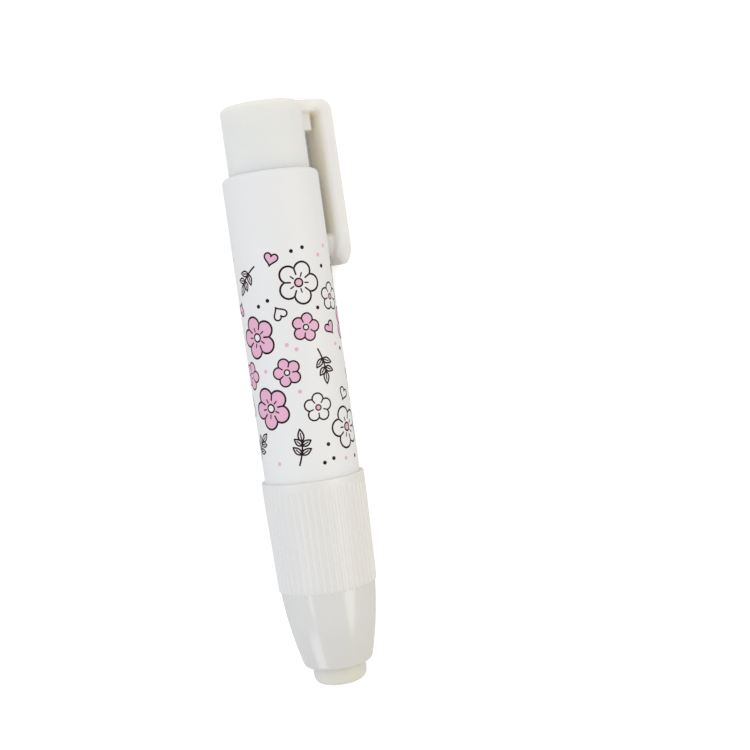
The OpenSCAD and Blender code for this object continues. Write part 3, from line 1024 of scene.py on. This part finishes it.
# ------------------------------------------------------------------ return spring
def build_spring():
    coils, wire, mean, s0, s1, around = 7, 0.25, 7.2, 24.25, 41.95, 12
    steps = coils * 40
    travel = s1 - s0 - 2 * wire
    e = 1 / coils

    def rise(t):
        if t < e:
            return 0.25 * t
        if t > 1 - e:
            return 1 - 0.25 * (1 - t)
        return 0.25 * e + (t - e) * (1 - 0.5 * e) / (1 - 2 * e)

    def point(t):
        a = 2 * math.pi * coils * t + CLIP
        return place(mean, a, s0 + wire + travel * rise(min(max(t, 0), 1)))

    verts, faces = [], []
    for i in range(steps + 1):
        t = i / steps
        p = point(t)
        a = 2 * math.pi * coils * t + CLIP
        out = facing(1.0, a, 0.0)
        tan = point(min(t + 0.002, 1)) - point(max(t - 0.002, 0))
        tan /= np.linalg.norm(tan)
        up = np.cross(out, tan)
        up /= np.linalg.norm(up)
        for j in range(around):
            b = 2 * math.pi * j / around
            verts.append(p + wire * (math.cos(b) * out + math.sin(b) * up))
    for i in range(steps):
        for j in range(around):
            k = (j + 1) % around
            faces.append([i * around + j, i * around + k, (i + 1) * around + k, (i + 1) * around + j])
    faces.append(list(range(around))[::-1])
    faces.append([steps * around + j for j in range(around)])
    me = bpy.data.meshes.new("coil_spring")
    me.from_pydata((np.array(verts) * MM).tolist(), [], faces)
    me.materials.append(spring_steel)
    ob = bpy.data.objects.new("coil_spring", me)
    bpy.context.scene.collection.objects.link(ob)
    bm = bmesh.new()
    bm.from_mesh(me)
    bmesh.ops.recalc_face_normals(bm, faces=bm.faces)
    bm.to_mesh(me)
    bm.free()
    me.shade_smooth()
    me.set_sharp_from_angle(angle=math.radians(50))
    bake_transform(ob)
    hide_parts("return_spring")
    return ob


build_barrel()
build_grip()
build_cap()
build_stick()
build_spring()

# the hidden pieces keep their CAD shape
for node, mat in (("connector", inner_plastic), ("eraser_tube", inner_plastic), ("retainer_ring", ring_rubber),
                  ("clutch_ring", clutch_plastic), ("chuck", clutch_plastic)):
    me = NODES[node].data
    me.materials.clear()
    me.materials.append(mat)


# ------------------------------------------------------------------ floor, world and lights
def plane(name, size, z):
    me = bpy.data.meshes.new(name)
    me.from_pydata([(-size, -size, z), (size, -size, z), (size, size, z), (-size, size, z)], [], [[0, 1, 2, 3]])
    ob = bpy.data.objects.new(name, me)
    bpy.context.scene.collection.objects.link(ob)
    return ob


def make_floor():
    """The table bounces light as pale paper does; what the camera sees of it is a glowing white sheet with painted
    shadow, dimmer and warmer where ambient occlusion is deep.
    """
    paper = Nodes("floor_paper")
    paper.set(Base_Color=paper.ramp(paper.noise(30, 3), [(0.3, (0.80, 0.80, 0.79)), (0.7, (0.83, 0.83, 0.82))]),
              Roughness=0.9)
    low = plane("floor_bounce", 3.0, -0.00003)
    low.data.materials.append(paper.mat)
    low.visible_camera = False
    seen = Nodes("floor_seen")
    ao = seen.new("ShaderNodeAmbientOcclusion")
    ao.samples = 12
    ao.inputs["Distance"].default_value = 0.05
    # painted shadow: the glow dims and warms where ambient occlusion is deep, under and between the holder's parts
    floor_glow_with_painted_shadow = seen.remap(ao.outputs["AO"], 0.12, 0.42, 0.20, 0.93)
    seen.set(Base_Color=seen.ramp(seen.noise(30, 3), [(0.3, (0.16, 0.16, 0.16)), (0.7, (0.17, 0.17, 0.17))]), Roughness=1.0,
             Emission_Color=seen.mix(seen.remap(ao.outputs["AO"], 0.1, 0.5, 0.0, 1.0), (1, 0.97, 0.80), (1, 0.995, 0.985)),
             Emission_Strength=floor_glow_with_painted_shadow)
    top = plane("floor_seen", 3.0, -0.00001)
    top.data.materials.append(seen.mat)
    for kind in ("diffuse", "glossy", "transmission", "volume_scatter", "shadow"):
        setattr(top, "visible_" + kind, False)


def make_world():
    w = bpy.data.worlds.new("tent")
    bpy.context.scene.world = w
    w.use_nodes = True
    t = w.node_tree
    bg = t.nodes["Background"]
    co = t.nodes.new("ShaderNodeTexCoord")
    sep = t.nodes.new("ShaderNodeSeparateXYZ")
    ramp = t.nodes.new("ShaderNodeValToRGB")
    t.links.new(co.outputs["Generated"], sep.inputs[0])
    across = t.nodes.new("ShaderNodeMapRange")
    across.inputs["From Min"].default_value, across.inputs["From Max"].default_value = -1.0, 1.0
    t.links.new(sep.outputs["X"], across.inputs["Value"])
    t.links.new(across.outputs["Result"], ramp.inputs["Fac"])
    along = t.nodes.new("ShaderNodeMapRange")
    along.inputs["From Min"].default_value, along.inputs["From Max"].default_value = -1.0, 1.0
    along.inputs["To Min"].default_value, along.inputs["To Max"].default_value = 0.88, 1.08
    t.links.new(sep.outputs["Y"], along.inputs["Value"])
    mul = t.nodes.new("ShaderNodeVectorMath")
    mul.operation = "SCALE"
    t.links.new(ramp.outputs["Color"], mul.inputs[0])
    t.links.new(along.outputs["Result"], mul.inputs["Scale"])
    t.links.new(mul.outputs[0], bg.inputs["Color"])
    e = ramp.color_ramp.elements
    e[0].position, e[0].color = 0.0, (0.966, 1.0, 1.062, 1)
    e[1].position, e[1].color = 1.0, (1.022, 0.985, 0.912, 1)
    bg.inputs["Strength"].default_value = 1.015


def softbox(name, angle, length, width, distance, radiance, colour, along=0.0, tilt=0.0, shape="RECTANGLE"):
    """A strip light parallel to the holder, angle degrees from straight up towards +X."""
    a = math.radians(angle)
    li = bpy.data.lights.new(name, "AREA")
    li.shape, li.size, li.size_y = shape, width, length
    li.energy = radiance * math.pi * width * length * (math.pi / 4 if shape == "ELLIPSE" else 1.0)
    li.color = colour
    ob = bpy.data.objects.new(name, li)
    bpy.context.scene.collection.objects.link(ob)
    at = Vector((AX * MM + distance * math.sin(a), along, AZ * MM + distance * math.cos(a)))
    aim = Vector((AX * MM, along + tilt, AZ * MM)) - at
    z = -aim.normalized()
    y = (Vector((0, 1, 0)) - z * z.y).normalized()
    x = y.cross(z)
    ob.matrix_world = Matrix(((x.x, y.x, z.x, at.x), (x.y, y.y, z.y, at.y), (x.z, y.z, z.z, at.z), (0, 0, 0, 1)))
    ob.visible_diffuse = False
    return ob


make_floor()
make_world()
softbox("left_strip", -45, 0.60, 0.08, 0.55, 2.8, (0.98, 0.99, 1.0))
softbox("left_low", -60, 0.34, 0.38, 0.60, 2.2, (0.90, 0.93, 1.0), along=-0.60, tilt=0.5)
softbox("right_strip", 53, 0.80, 0.33, 0.55, 2.6, (1.0, 0.98, 0.94), shape="ELLIPSE")
bpy.context.scene.view_settings.view_transform = "Standard"
bpy.context.scene.view_settings.look = "None"
